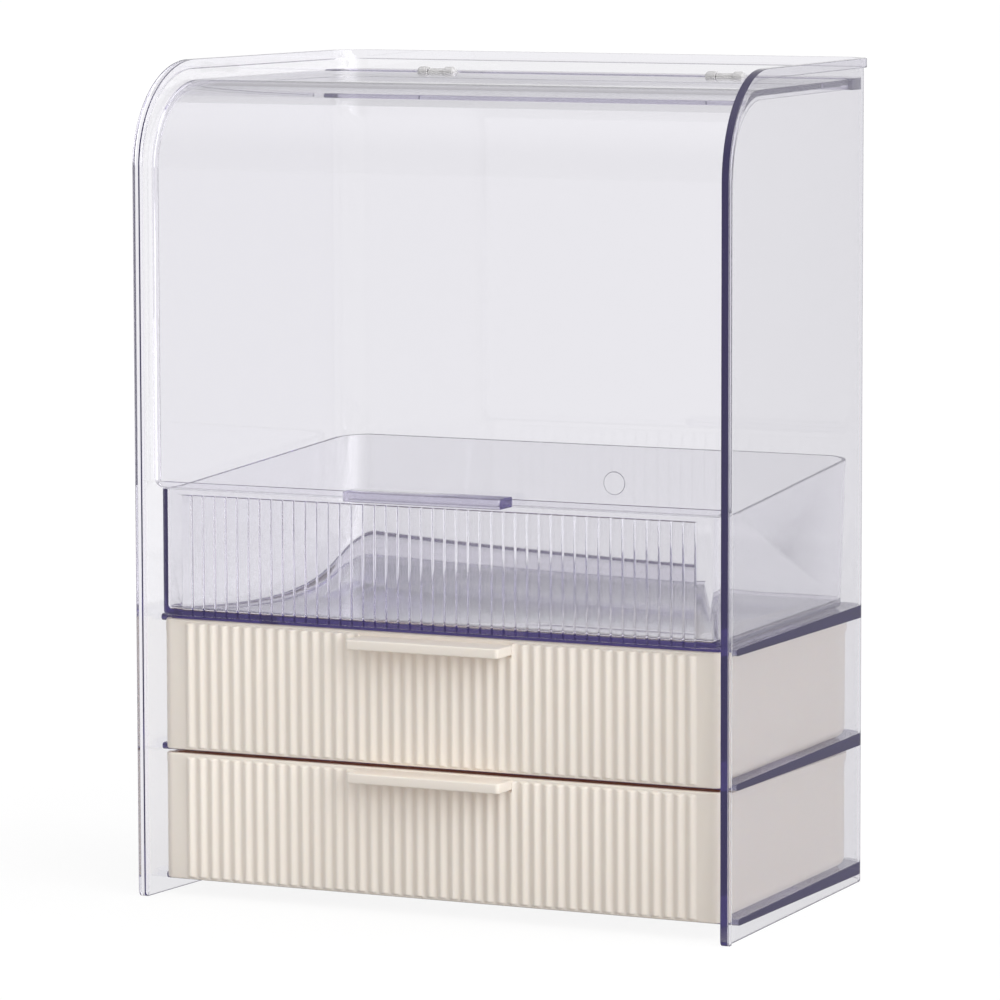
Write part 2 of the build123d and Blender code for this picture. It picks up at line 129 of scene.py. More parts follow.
class Form:
    """A closed mesh in millimetres, shaped with bmesh operators."""

    def __init__(self) -> None:
        """Start with an empty mesh."""
        self.mesh = bmesh.new()

    @classmethod
    def between(cls, low: Plan, high: Plan) -> Form:
        """Make a block whose floor and top are two outlines.

        Args:
            low: The outline of its underside.
            high: The outline of its top.

        Returns:
            The block.
        """
        form = cls()
        floor, top = low.corners(), high.corners()
        face = form.mesh.faces.new([form.mesh.verts.new(corner) for corner in floor])
        for vert in form.extrude([face]):
            nearest = min(range(len(floor)), key=lambda place: (vert.co - floor[place]).length)
            vert.co = top[nearest]
        return form.outward()

    @classmethod
    def box(cls, depths: Span, heights: Span, halves: Span, across: float = 0.0) -> Form:
        """Make a block with upright sides.

        Args:
            depths: Its front and its rear.
            heights: Its underside and its top.
            halves: Half its width at its front and at its rear.
            across: The X of its middle.

        Returns:
            The block.
        """
        form = cls.between(*(Plan(*depths, *halves, height) for height in heights))
        bmesh.ops.translate(form.mesh, verts=form.mesh.verts, vec=(across, 0, 0))
        return form

    @classmethod
    def wedge(cls, points: Iterable[Span], half: float) -> Form:
        """Make a block across the case from pairs of a depth and a height.

        Args:
            points: The corners of its side outline, in order.
            half: Half its width.

        Returns:
            The block.
        """
        form = cls()
        outline = [Vector((-half, FRONT_Y + depth, height)) for depth, height in points]
        face = form.mesh.faces.new([form.mesh.verts.new(corner) for corner in outline])
        bmesh.ops.translate(form.mesh, verts=form.extrude([face]), vec=(2 * half, 0, 0))
        return form.outward()

    @classmethod
    def slab(cls, depths: Span, heights: Span, half: float, corner: float, edge: float) -> Form:
        """Make a slab with rounded front corners and rounded edges at its top and its underside.

        Args:
            depths: Its front and its rear.
            heights: Its underside and its top.
            half: Half its width.
            corner: The radius of its front corners.
            edge: The radius of those edges.

        Returns:
            The slab.
        """
        form = cls.box(depths, heights, (half, half))
        form.round_front(sum(depths) / 2, corner, steps=8)
        rear = depths[1]
        return form.round_edges(
            lambda line: is_square(line) and not lies_at(line, depth=rear), edge, steps=4
        )

    @classmethod
    def turned(
        cls,
        middle: Iterable[float],
        length: float,
        radii: Span,
        turn: Matrix = Matrix(),
        sides: int = 48,
    ) -> Form:
        """Make a round form.

        Args:
            middle: The X, the depth and the height of its middle.
            length: Its length.
            radii: The radii of its two ends.
            turn: The turn that lays it down.
            sides: How many flats it has.

        Returns:
            The form.
        """
        form = cls()
        across, depth, height = middle
        bmesh.ops.create_cone(
            form.mesh,
            cap_ends=True,
            segments=sides,
            radius1=radii[0],
            radius2=radii[1],
            depth=length,
            matrix=Matrix.Translation((across, FRONT_Y + depth, height)) @ turn,
        )
        return form

    def extrude(self, faces: list[bmesh.types.BMFace]) -> list[bmesh.types.BMVert]:
        """Extrude faces and give the new vertices, which are still where they started."""
        return vertices(bmesh.ops.extrude_face_region(self.mesh, geom=faces))

    def outward(self) -> Form:
        """Turn every face outward and give the form itself."""
        bmesh.ops.recalc_face_normals(self.mesh, faces=self.mesh.faces)
        return self

    def round_edges(self, chosen: Callable[[Edge], bool], radius: float, steps: int) -> Form:
        """Round the chosen edges.

        Args:
            chosen: Says whether an edge is rounded.
            radius: The radius of the rounding.
            steps: How many steps the rounding has.

        Returns:
            The form itself.
        """
        bmesh.ops.bevel(
            self.mesh,
            geom=[edge for edge in self.mesh.edges if chosen(edge)],
            offset=radius,
            segments=steps,
            profile=0.5,
            affect="EDGES",
            material=-1,
        )
        return self

    def round_rear(self, depth: float, radius: float, steps: int) -> Form:
        """Round the upright edges behind a depth and give the form itself."""
        return self.round_edges(
            lambda edge: is_upright(edge) and depth_of(edge) > depth, radius, steps
        )

    def round_front(self, depth: float, radius: float, steps: int) -> Form:
        """Round the upright edges in front of a depth and give the form itself."""
        return self.round_edges(
            lambda edge: is_upright(edge) and depth_of(edge) < depth, radius, steps
        )

    def round_nose(self, depth: float, radius: float, steps: int) -> Form:
        """Round the level edges at a depth and give the form itself."""
        return self.round_edges(
            lambda edge: lies_at(edge, depth=depth) and not is_upright(edge), radius, steps
        )

    def round_line(self, depth: float, height: float, radius: float, steps: int) -> Form:
        """Round the edge across the case at a depth and a height and give the form itself."""
        return self.round_edges(
            lambda edge: lies_at(edge, depth=depth, height=height), radius, steps
        )

    def slice(self, point: Vector, outside: Vector) -> Form:
        """Cut the form off at a plane and close the cut.

        Args:
            point: A point on the plane.
            outside: The plane's normal, on the side that is thrown away.

        Returns:
            The form itself.
        """
        whole = [*self.mesh.verts, *self.mesh.edges, *self.mesh.faces]
        cut = bmesh.ops.bisect_plane(
            self.mesh, geom=whole, plane_co=point, plane_no=outside, clear_outer=True
        )
        rim = [item for item in cut["geom_cut"] if isinstance(item, Edge)]
        bmesh.ops.holes_fill(self.mesh, edges=rim)
        return self.outward()

    def combine(self, other: Form, joining: Joining) -> Form:
        """Cut, keep or add another form.

        Args:
            other: The other form, which is used up.
            joining: What the other form does to this one.

        Returns:
            The form itself.
        """
        host = self.stand_in("host")
        tool = other.stand_in("tool")
        modifier = host.modifiers.new("combine", "BOOLEAN")
        modifier.operation = joining.value
        modifier.solver = "EXACT"
        modifier.object = tool
        graph = bpy.context.evaluated_depsgraph_get()
        result = bpy.data.meshes.new_from_object(host.evaluated_get(graph))
        self.mesh.clear()
        self.mesh.from_mesh(result)
        for leftover in (host.data, tool.data, result):
            bpy.data.meshes.remove(leftover)
        other.mesh.free()
        return self

    def stand_in(self, name: str) -> bpy.types.Object:
        """Put the form into the scene as it is.

        Args:
            name: The object's name.

        Returns:
            The object.
        """
        data = bpy.data.meshes.new(name)
        self.mesh.to_mesh(data)
        item = bpy.data.objects.new(name, data)
        bpy.context.scene.collection.objects.link(item)
        return item

    def piece(self, name: str, edge: float = 0.0) -> bpy.types.Object:
        """Turn the form into a finished object in metres.

        Args:
            name: The object's name.
            edge: The radius of the small rounding on its sharp edges.

        Returns:
            The object, at the origin.
        """
        bmesh.ops.remove_doubles(self.mesh, verts=self.mesh.verts, dist=WELD)
        bmesh.ops.dissolve_limit(
            self.mesh, angle_limit=BENT, verts=self.mesh.verts, edges=self.mesh.edges
        )
        bmesh.ops.scale(self.mesh, vec=(METRES,) * 3, verts=self.mesh.verts)
        for face in self.mesh.faces:
            face.smooth = True
        item = self.stand_in(name)
        self.mesh.free()
        if edge:
            modifier = item.modifiers.new("edge", "BEVEL")
            modifier.width = edge * METRES
            modifier.segments = 2
            modifier.limit_method = "ANGLE"
            modifier.angle_limit = SHARP
            modifier.harden_normals = True
        else:
            item.data.set_sharp_from_angle(angle=SHARP)
        return item


def vertices(grown: dict[str, list]) -> list[bmesh.types.BMVert]:
    """Give the vertices that an extrusion has made."""
    return [item for item in grown["geom"] if isinstance(item, bmesh.types.BMVert)]


def lies_at(
    edge: Edge,
    across: float | None = None,
    depth: float | None = None,
    height: float | None = None,
) -> bool:
    """Say whether both ends of an edge lie at the X, the depth and the height that are given."""
    wanted = (across, None if depth is None else FRONT_Y + depth, height)
    return all(
        value is None or abs(vert.co[axis] - value) < NEAR
        for vert in edge.verts
        for axis, value in enumerate(wanted)
    )


def depth_of(edge: Edge) -> float:
    """Give the depth of an edge's middle."""
    return sum(vert.co.y for vert in edge.verts) / 2 - FRONT_Y


def is_upright(edge: Edge) -> bool:
    """Say whether an edge runs mostly up and down."""
    run = edge.verts[1].co - edge.verts[0].co
    return abs(run.z) > 0.8 * run.length


def is_square(edge: Edge) -> bool:
    """Say whether an edge's two faces are about square to each other."""
    return edge.calc_face_angle(0.0) > SQUARE


class Graph:
    """A node tree whose nodes are joined by giving one node's output to another's inputs."""

    def __init__(self, tree: bpy.types.NodeTree) -> None:
        """Take the tree."""
        self.tree = tree

    def set(self, node: bpy.types.Node, inputs: Inputs) -> None:
        """Set a node's inputs or join them to other nodes.

        Args:
            node: The node.
            inputs: A value, a colour without its alpha or an output for each input.
        """
        for name, value in inputs.items():
            socket = node.inputs[name]
            if isinstance(value, Socket):
                self.tree.links.new(value, socket)
            else:
                socket.default_value = (*value, 1.0) if socket.type == "RGBA" else value

    def add(self, kind: str, output: str, inputs: Inputs | None = None, **settings: str) -> Socket:
        """Add a node.

        Args:
            kind: Its kind, without the word that every kind starts with.
            output: The output that is used.
            inputs: What its inputs get.
            settings: Its own settings.

        Returns:
            That output.
        """
        node = self.tree.nodes.new(f"ShaderNode{kind}")
        for name, value in settings.items():
            setattr(node, name, value)
        self.set(node, inputs or {})
        return node.outputs[output]


class Finish(Graph):
    """A material's node tree, read in the object's own coordinates."""

    def __init__(self, name: str) -> None:
        """Start a material of that name with only its output."""
        self.material = bpy.data.materials.new(name)
        self.material.use_nodes = True
        super().__init__(self.material.node_tree)
        self.tree.nodes.clear()
        self.output = self.tree.nodes.new("ShaderNodeOutputMaterial")
        self.place = self.add("TexCoord", "Object")

    def noise(self, scale: float, detail: float) -> Socket:
        """Add a noise pattern over the object's coordinates."""
        return self.add("TexNoise", "Fac", {"Vector": self.place, "Scale": scale, "Detail": detail})

    def bump(self, scale: float, strength: float, distance: float) -> Socket:
        """Add a fine unevenness for the surface."""
        height = self.noise(scale, detail=1.0)
        depth = {"Strength": strength, "Distance": distance}
        return self.add("Bump", "Normal", {"Height": height, **depth})

    def mottle(self, middle: float, spread: float, scale: float) -> Socket:
        """Add a roughness that wanders as far as spread to each side of its middle value."""
        value = self.noise(scale, detail=2.0)
        ends = {"To Min": middle - spread, "To Max": middle + spread}
        return self.add("MapRange", "Result", {"Value": value, **ends})

    def coat(self, surface: Inputs) -> Material:
        """Give the material its surface from the shader's inputs, and give the material."""
        self.set(self.output, {"Surface": self.add("BsdfPrincipled", "BSDF", surface)})
        return self.material


@dataclass(frozen=True)
class ClearPlastic:
    """Clear moulded plastic that shows its tint, with a painted glow inside it that stands in for
    the light running along a wall.
    """

    name: str = "clear_moulding"
    refraction: float = 1.57
    roughness: float = 0.015
    surface: Colour = (0.955, 0.955, 0.955)
    tint: Colour = (0.09, 0.0, 0.39)
    density: float = 22.0
    # A painted glow: the plastic's inside emits this navy light, so long paths along a wall show
    # navy instead of black.
    painted_edge_glow: Colour = (0.63, 0.56, 1.0)
    painted_edge_glow_strength: float = 1.3
    ripple: float = 0.03

    def material(self) -> Material:
        """Build the material.

        Returns:
            The material.
        """
        made = Finish(self.name)
        tint = {"Color": self.tint, "Density": self.density}
        # The emission is painted light: the plastic glows navy inside, standing in for light
        # carried along its walls.
        painted_edge_glow = {"Color": self.painted_edge_glow, "Strength": self.painted_edge_glow_strength}
        inside = {
            0: made.add("VolumeAbsorption", "Volume", tint),
            1: made.add("Emission", "Emission", painted_edge_glow),
        }
        made.set(made.output, {"Volume": made.add("AddShader", "Shader", inside)})
        return made.coat(
            {
                "Base Color": self.surface,
                "Roughness": self.roughness,
                "IOR": self.refraction,
                "Transmission Weight": 1.0,
                "Normal": made.bump(scale=14.0, strength=self.ripple, distance=0.0006),
            }
        )


@dataclass(frozen=True)
class CreamPlastic:
    """Cream moulded plastic with a soft satin face that lets a little light through, and a faint
    painted warm glow that lights its shade.
    """

    name: str = "cream_moulding"
    colour: Colour = (0.852, 0.812, 0.742)
    deep_colour: Colour = (0.838, 0.79, 0.716)
    # A painted warm glow: the plastic emits faint rust light that tints its shade, the gaps between
    # drawers and the shadows under the bars.
    painted_warm_glow: Colour = (1.0, 0.25, 0.07)
    painted_warm_glow_strength: float = 0.028
    roughness: float = 0.36
    refraction: float = 1.5
    scatter: Colour = (0.002, 0.0015, 0.001)

    def material(self) -> Material:
        """Build the material.

        Returns:
            The material.
        """
        made = Finish(self.name)
        cloud = made.noise(scale=9.0, detail=2.0)
        colours = {"Factor": cloud, "A": self.colour, "B": self.deep_colour}
        return made.coat(
            {
                "Base Color": made.add("Mix", "Result", colours, data_type="RGBA"),
                "Roughness": made.mottle(self.roughness, spread=0.04, scale=60.0),
                "IOR": self.refraction,
                # Painted light: this emission makes the shaded places glow rust.
                "Emission Color": self.painted_warm_glow,
                "Emission Strength": self.painted_warm_glow_strength,
                "Subsurface Weight": 0.1,
                "Subsurface Radius": self.scatter,
                "Subsurface Scale": 0.5,
                "Normal": made.bump(scale=900.0, strength=0.04, distance=0.00008),
            }
        )


@dataclass(frozen=True)
class MilkyPlastic:
    """Milky hinge plastic that lets some light through."""

    name: str = "milky_moulding"
    colour: Colour = (0.79, 0.78, 0.785)
    roughness: float = 0.2
    refraction: float = 1.5
    scatter: Colour = (0.002, 0.002, 0.002)

    def material(self) -> Material:
        """Build the material."""
        made = Finish(self.name)
        return made.coat(
            {
                "Base Color": self.colour,
                "Roughness": made.mottle(self.roughness, spread=0.06, scale=400.0),
                "IOR": self.refraction,
                "Transmission Weight": 0.35,
                "Subsurface Weight": 0.3,
                "Subsurface Radius": self.scatter,
                "Normal": made.bump(scale=700.0, strength=0.06, distance=0.0001),
            }
        )


FINISHES = {Slot.CLEAR: ClearPlastic(), Slot.CREAM: CreamPlastic(), Slot.MILKY: MilkyPlastic()}


def fit(item: bpy.types.Object, body: Body, slot: Slot, node: str) -> None:
    """Dress a piece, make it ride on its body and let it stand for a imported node.

    Args:
        item: The finished piece.
        body: The body that it moves with.
        slot: Its material slot.
        node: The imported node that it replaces.
    """
    finish = FINISHES[slot]
    item.data.materials.append(bpy.data.materials.get(finish.name) or finish.material())
    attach(item, body.value)
    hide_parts(node)
    LOG.info("built %s for %s", item.name, node)


@dataclass
class Reeds:
    """A row of round upright reeds that swell softly out of a flat front."""

    count: int = 44
    pitch: float = 5.728
    proud: float = 1.5
    fade: float = 1.2
    root: float = 0.6
    sunk: float = 0.02
    steps: int = 12
    fade_steps: int = 5

    def stops(self) -> list[float]:
        """Give the places where a reed is drawn, measured from its middle line."""
        return [self.pitch * (step / self.steps - 0.5) for step in range(self.steps + 1)]

    def swell(self, aside: float) -> float:
        """Give how far a reed stands out at a distance from its middle line."""
        return self.proud * (1 + math.cos(math.tau * aside / self.pitch)) / 2

    def form(
        self, depth: float, low: float, high: float, pad_half: float = 0.0, pad_low: float = 0.0
    ) -> Form:
        """Make the row as one relief with a flat back.

        Args:
            depth: The depth of the flat front that it stands on.
            low: The height of the reeds' lower ends.
            high: The height of their upper ends.
            pad_half: Half the width of the plain pad behind a handle.
            pad_low: The height where the reeds under that pad end.

        Returns:
            The relief, rooted a little way into the front.
        """
        form = Form()
        tops = [low + self.fade, high] + ([pad_low] if pad_half else [])
        heights = sorted(
            top - self.fade * step / self.fade_steps
            for top in tops
            for step in range(self.fade_steps + 1)
        )
        rows = len(heights) - 1
        stops = self.stops()
        strips = len(stops) - 1
        columns = self.count * strips
        bmesh.ops.create_grid(form.mesh, x_segments=columns, y_segments=rows, size=1.0)
        for vert in form.mesh.verts:
            column = round((vert.co.x + 1) / 2 * columns)
            reed = min(column // strips, self.count - 1)
            aside = stops[column - reed * strips]
            across = (reed - (self.count - 1) / 2) * self.pitch + aside
            height = heights[round((vert.co.y + 1) / 2 * rows)]
            top = pad_low if abs(across) < pad_half else high
            share = min(1.0, max(0.0, min(height - low, top - height) / self.fade))
            proud = self.swell(abs(aside)) * share * (2 - share) - self.sunk
            vert.co = Vector((across, FRONT_Y + depth - proud, height))
        rim = [edge for edge in form.mesh.edges if edge.is_boundary]
        for vert in vertices(bmesh.ops.extrude_edge_only(form.mesh, edges=rim)):
            vert.co.y = FRONT_Y + depth + self.root
        open_rim = [edge for edge in form.mesh.edges if edge.is_boundary]
        bmesh.ops.contextual_create(form.mesh, geom=open_rim)
        return form.outward()


@dataclass
class FlatReeds(Reeds):
    """A row of flat reeds with a narrow groove between each pair."""

    proud: float = 0.8
    fade: float = 0.4
    steps: int = 4
    groove: float = 1.3

    def stops(self) -> list[float]:
        """Give the places where a reed is drawn, close together in its grooves."""
        shares = [step / self.steps for step in range(self.steps + 1)]
        ends = [self.pitch / 2 - self.groove / 2 * share for share in shares]
        return [-end for end in ends] + ends[::-1]

    def swell(self, aside: float) -> float:
        """Give how far a reed stands out at a distance from its middle line."""
        away = min(1.0, (self.pitch / 2 - aside) / (self.groove / 2))
        return self.proud * (1 - math.cos(math.pi * away)) / 2


@dataclass
class Handle:
    """A plain bar with rounded corners."""

    body: Body
    slot: Slot
    name: str
    width: float
    low: float
    thickness: float
    rear: float
    overhang: float = 4.8
    corner: float = 2.0
    edge: float = 0.6

    def build(self) -> None:
        """Build and dress the bar."""
        depths = (-self.overhang, self.rear)
        heights = (self.low, self.low + self.thickness)
        form = Form.slab(depths, heights, self.width / 2, self.corner, self.edge)
        fit(form.piece(f"{self.name}_bar"), self.body, self.slot, self.name)


@dataclass
class Hinge:
    """One milky hinge: a base with two knuckles, a leaf with one, and a pin."""

    side: str
    across: float
    depth: float = 159.5
    height: float = 366.0
    length: float = 19.5
    end_radius: float = 2.6
    end_round: float = 1.9
    middle_length: float = 8.2
    middle_radius: float = 1.8
    pin_radius: float = 0.8
    pin_length: float = 16.5
    pin_edge: float = 0.2
    base_bore_gap: float = 0.03
    base_bore_spare: float = 0.1
    leaf_bore_gap: float = 0.05
    leaf_bore_spare: float = 1.0
    reach: float = 9.0
    thickness: float = 1.2
    gap: float = 0.4
    notch_spare: float = 1.0
    edge: float = 0.15

    def plate(self, half: float, near: float, far: float) -> Form:
        """Make a flat plate level with the axis.

        Args:
            half: Half its width.
            near: Its start, measured backward from the axis.
            far: Its end, measured in the same way.

        Returns:
            The plate.
        """
        depths = (self.depth + near, self.depth + far)
        heights = (self.height - self.thickness, self.height)
        return Form.box(depths, heights, (half, half), self.across)

    def rod(self, start: float, end: float, radius: float) -> Form:
        """Make a round bar on the axis.

        Args:
            start: Its left end, measured from the hinge's middle.
            end: Its right end, measured from there.
            radius: Its radius.

        Returns:
            The bar.
        """
        left, right = self.across + start, self.across + end
        middle = ((left + right) / 2, self.depth, self.height)
        return Form.turned(middle, right - left, (radius, radius), ACROSS)

    def notch(self, form: Form, low: float, high: float) -> None:
        """Cut the space that the hinge needs out of the bar or the lid.

        Args:
            form: The bar or the lid.
            low: The height of its underside there.
            high: The height of its top.
        """
        half = self.length / 2 + self.gap
        spans = (self.end_radius + self.gap, self.reach + self.gap)
        floors = (low - self.notch_spare, self.height - self.thickness)
        for span, floor in zip(spans, floors):
            depths = (self.depth - span, self.depth + span)
            heights = (floor, high + self.notch_spare)
            form.combine(Form.box(depths, heights, (half, half), self.across), Joining.CUT)

    def build_base(self) -> None:
        """Build and dress the base with its two knuckles."""
        half = self.length / 2
        end_length = (self.length - self.middle_length) / 2 - self.gap
        slot_half = self.middle_length / 2 + self.gap
        form = self.plate(half, 0.0, self.reach)
        form.combine(self.plate(slot_half, -REACH, self.middle_radius + self.gap), Joining.CUT)
        for start, end in ((-half, end_length - half), (half - end_length, half)):
            knuckle = self.rod(start, end, self.end_radius)
            outer = self.across + (start if start < 0 else end)
            knuckle.round_edges(lambda edge: lies_at(edge, across=outer), self.end_round, steps=6)
            form.combine(knuckle, Joining.ADD)
        bore_half = self.pin_length / 2 + self.base_bore_spare
        bore = self.rod(-bore_half, bore_half, self.pin_radius + self.base_bore_gap)
        item = form.combine(bore, Joining.CUT).piece(f"{self.side}_hinge_body", self.edge)
        fit(item, Body.CASE, Slot.MILKY, f"{self.side}_hinge_base")

    def build_leaf(self) -> None:
        """Build and dress the leaf with its knuckle."""
        half = self.middle_length / 2
        form = self.plate(half, -self.reach, 0.0)
        wide = self.plate(self.length / 2, -self.reach, -self.end_radius - self.gap)
        form.combine(wide, Joining.ADD)
        form.combine(self.rod(-half, half, self.middle_radius), Joining.ADD)
        bore_half = half + self.leaf_bore_spare
        bore = self.rod(-bore_half, bore_half, self.pin_radius + self.leaf_bore_gap)
        item = form.combine(bore, Joining.CUT).piece(f"{self.side}_hinge_flap", self.edge)
        fit(item, Body.LID, Slot.MILKY, f"{self.side}_hinge_leaf")

    def build_pin(self) -> None:
        """Build and dress the pin."""
        half = self.pin_length / 2
        form = self.rod(-half, half, self.pin_radius)
        item = form.round_edges(is_square, self.pin_edge, steps=3).piece(f"{self.side}_hinge_axle")
        fit(item, Body.CASE, Slot.MILKY, f"{self.side}_hinge_pin")

    def build(self) -> None:
        """Build the three pieces."""
        self.build_base()
        self.build_leaf()
        self.build_pin()


@dataclass
class Case:
    """The clear moulding with its walls, shelves and raised rim, and the bar across its top."""

    hinges: tuple[Hinge, ...]
    height: float = 375.0
    depth: float = 185.0
    half: float = 143.6
    wall: float = 2.5
    corner: float = 14.0
    arc: float = 47.0
    foot: float = 2.5
    spare: float = 2.0
    edge: float = 0.3
    rim_proud: float = 1.4
    rim_width: float = 4.2
    shelf_tops: tuple[float, ...] = (8.8, 68.2, 126.8)
    shelf_setbacks: tuple[float, ...] = (18.0, 15.0, 15.0)
    shelf_front: float = 2.6
    shelf_rear: float = 5.6
    shelf_nose: float = 1.0
    nose_lap: float = 0.02
    nose_space: float = 0.4
    nose_side: float = 1.0
    gate_radius: float = 5.35
    gate_recess: float = 0.8
    gate_across: float = 7.0
    gate_height: float = 176.0
    bar_reach: float = 24.0
    bar_high: float = 366.3
    bar_thickness: float = 5.3
    bar_gap: float = 0.12
    bar_nose: float = 1.5
    bar_edge: float = 0.25

    def half_at(self, depth: float) -> float:
        """Give half the case's outer width at a depth."""
        return self.half - depth * DRAFT

    def block(self, reach: float, depths: Span, heights: Span, corner: float = 0.0) -> Form:
        """Make a block whose sides run along the side walls.

        Args:
            reach: How far its sides lie outside the walls' outer faces.
            depths: Its front and its rear.
            heights: Its underside and its top.
            corner: The radius of its two rear corners.

        Returns:
            The block.
        """
        front, rear = (self.half_at(depth) + reach for depth in depths)
        form = Form.box(depths, heights, (front, rear))
        return form.round_rear(sum(depths) / 2, corner, steps=14) if corner else form

    def underside(self, top: float, setback: float, depth: float) -> float:
        """Give the height of a shelf's sloping underside at a depth."""
        share = (depth - setback) / (self.depth - setback)
        return top - self.shelf_front - share * (self.shelf_rear - self.shelf_front)

    def outer_form(self) -> Form:
        """Make the solid outside of the case, with its raised rim and its rounded top.

        Returns:
            The solid.
        """
        proud, spare = self.rim_proud, self.spare
        rear = self.depth + proud
        heights = (-spare, self.height + spare)
        form = self.block(0.0, (-spare, self.depth), heights, self.corner)
        rim = self.block(proud, (-spare, rear), heights, self.corner + proud)
        halves = (self.half + REACH, self.half + REACH)
        width, top = self.rim_width, self.height - self.rim_width
        inside = Form.box((width, rear + REACH), (-REACH, top), halves)
        inside.round_line(width, top, self.arc - width, steps=32)
        form.combine(rim.combine(inside, Joining.CUT), Joining.ADD)
        outline = Form.box((0.0, rear + REACH), (0.0, self.height), halves)
        outline.round_line(0.0, self.height, self.arc, steps=32)
        outline.round_line(0.0, 0.0, self.foot, steps=6)
        return form.combine(outline, Joining.KEEP)

    def bay(self, low: float, ceiling: float | None, setback: float) -> Form:
        """Make the empty space over a shelf.

        Args:
            low: The height of the shelf under it.
            ceiling: The height of the shelf over it, or None where it is open.
            setback: The setback of the shelf over it.

        Returns:
            The space, which reaches out of the case's open front.
        """
        high = self.height + REACH if ceiling is None else ceiling
        depths = (-REACH, self.depth - self.wall)
        form = self.block(-self.wall, depths, (low, high), self.corner - self.wall)
        if ceiling is not None:
            for vert in form.mesh.verts:
                if abs(vert.co.z - high) < NEAR:
                    vert.co.z = self.underside(ceiling, setback, vert.co.y - FRONT_Y)
        return form

    def front_space(self, top: float, setback: float) -> Form:
        """Make the empty space in front of a shelf, hollow where the shelf's nose is round.

        Args:
            top: The height of the shelf's top.
            setback: The depth of the shelf's front edge.

        Returns:
            The space, which reaches out of the case's open front.
        """
        low = top - self.shelf_front
        depths = (-REACH, setback + self.shelf_nose - self.nose_lap)
        form = self.block(-self.wall, depths, (low - self.nose_space, top + self.nose_space))
        nose = self.block(self.nose_side, (setback, self.depth), (low, top))
        return form.combine(nose.round_nose(setback, self.shelf_nose, steps=6), Joining.CUT)

    def build_shell(self) -> None:
        """Build and dress the moulding."""
        form = self.outer_form()
        lows = (-REACH, *self.shelf_tops)
        ceilings = (*self.shelf_tops, None)
        for low, ceiling, setback in zip(lows, ceilings, (*self.shelf_setbacks, 0.0)):
            form.combine(self.bay(low, ceiling, setback), Joining.CUT)
        for top, setback in zip(self.shelf_tops, self.shelf_setbacks):
            form.combine(self.front_space(top, setback), Joining.CUT)
        middle = (self.gate_across, self.depth, self.gate_height)
        radii = (self.gate_radius, self.gate_radius)
        gate = Form.turned(middle, 2 * self.gate_recess, radii, BACKWARD)
        item = form.combine(gate, Joining.CUT).piece("case_moulding", self.edge)
        fit(item, Body.CASE, Slot.CLEAR, "case_shell")

    def build_bar(self) -> None:
        """Build and dress the bar across the back of the top."""
        inset = self.wall + self.bar_gap
        front = self.depth - self.bar_reach
        low = self.bar_high - self.bar_thickness
        depths = (front, self.depth - inset)
        form = self.block(-inset, depths, (low, self.bar_high), self.corner - self.wall)
        form.round_nose(front, self.bar_nose, steps=6)
        for hinge in self.hinges:
            hinge.notch(form, low, self.bar_high)
        item = form.piece("top_bar", self.bar_edge)
        fit(item, Body.CASE, Slot.CLEAR, "rear_top_bar")

    def build(self) -> None:
        """Build the moulding and the bar."""
        self.build_shell()
        self.build_bar()


@dataclass
class Lid:
    """The clear curved lid, with its ribs, its lower flange and its bar."""

    case: Case
    front: float = 7.5
    rear: float = 158.0
    low: float = 184.9
    high: float = 366.0
    arc: float = 39.0
    thickness: float = 2.6
    rib_depth: float = 2.0
    rib_width: float = 1.6
    rib_end_space: float = 10.0
    flange: float = 2.6
    side_gap: float = 1.2
    corner: float = 5.0
    spare: float = 10.0
    edge: float = 0.3
    handle_width: float = 77.4
    handle_low: float = 184.4
    handle_thickness: float = 4.6
    handle_gap: float = 0.06

    def band(self, inset: float, low: float) -> Form:
        """Make the space inside the lid's outline.

        Args:
            inset: How far its front and its top are moved inward.
            low: The height where it starts.

        Returns:
            The space, which runs out of the lid's rear and sides where it is moved inward.
        """
        spare = REACH if inset else 0.0
        front, high = self.front + inset, self.high - inset
        halves = (self.case.half + spare, self.case.half + spare)
        form = Form.box((front, self.rear + spare), (low, high), halves)
        return form.round_line(front, high, self.arc - inset, steps=32)

    def front_outline(self, inset: float) -> Form:
        """Make a block with the lid's front outline, its lower corners rounded.

        Args:
            inset: How far its sides lie inside the case's outer faces.

        Returns:
            The block.
        """
        half = self.case.half_at(self.front) - inset
        heights = (self.low, self.case.height)
        return Form.box((-REACH, self.case.depth), heights, (half, half)).round_edges(
            lambda edge: lies_at(edge, across=edge.verts[0].co.x, height=self.low),
            self.corner,
            steps=8,
        )

    def build(self) -> None:
        """Build and dress the sheet and its bar."""
        case = self.case
        heights = (0.0, case.height)
        inset = case.wall + self.side_gap
        form = self.band(0.0, self.low)
        inside = self.band(self.thickness + self.rib_depth, self.low - self.spare)
        form.combine(inside, Joining.CUT)
        form.combine(case.block(-inset, (-REACH, case.depth), heights), Joining.KEEP)
        hollow = self.band(self.thickness, self.low + self.flange)
        between = case.block(-inset - self.rib_width, (-REACH, case.depth + REACH), heights)
        form.combine(hollow.combine(between, Joining.KEEP), Joining.CUT)
        under = self.high - self.thickness
        depths = (self.rear - self.rib_end_space, self.rear + REACH)
        rib_ends = Form.box(depths, (under - self.spare, under), (case.half, case.half))
        form.combine(rib_ends, Joining.CUT)
        form.combine(self.front_outline(inset), Joining.KEEP)
        for hinge in case.hinges:
            hinge.notch(form, under - self.rib_depth, self.high)
        fit(form.piece("lid_sheet", self.edge), Body.LID, Slot.CLEAR, "lid")
        sizes = (self.handle_width, self.handle_low, self.handle_thickness)
        rear = self.front - self.handle_gap
        Handle(Body.LID, Slot.CLEAR, "lid_handle", *sizes, rear).build()


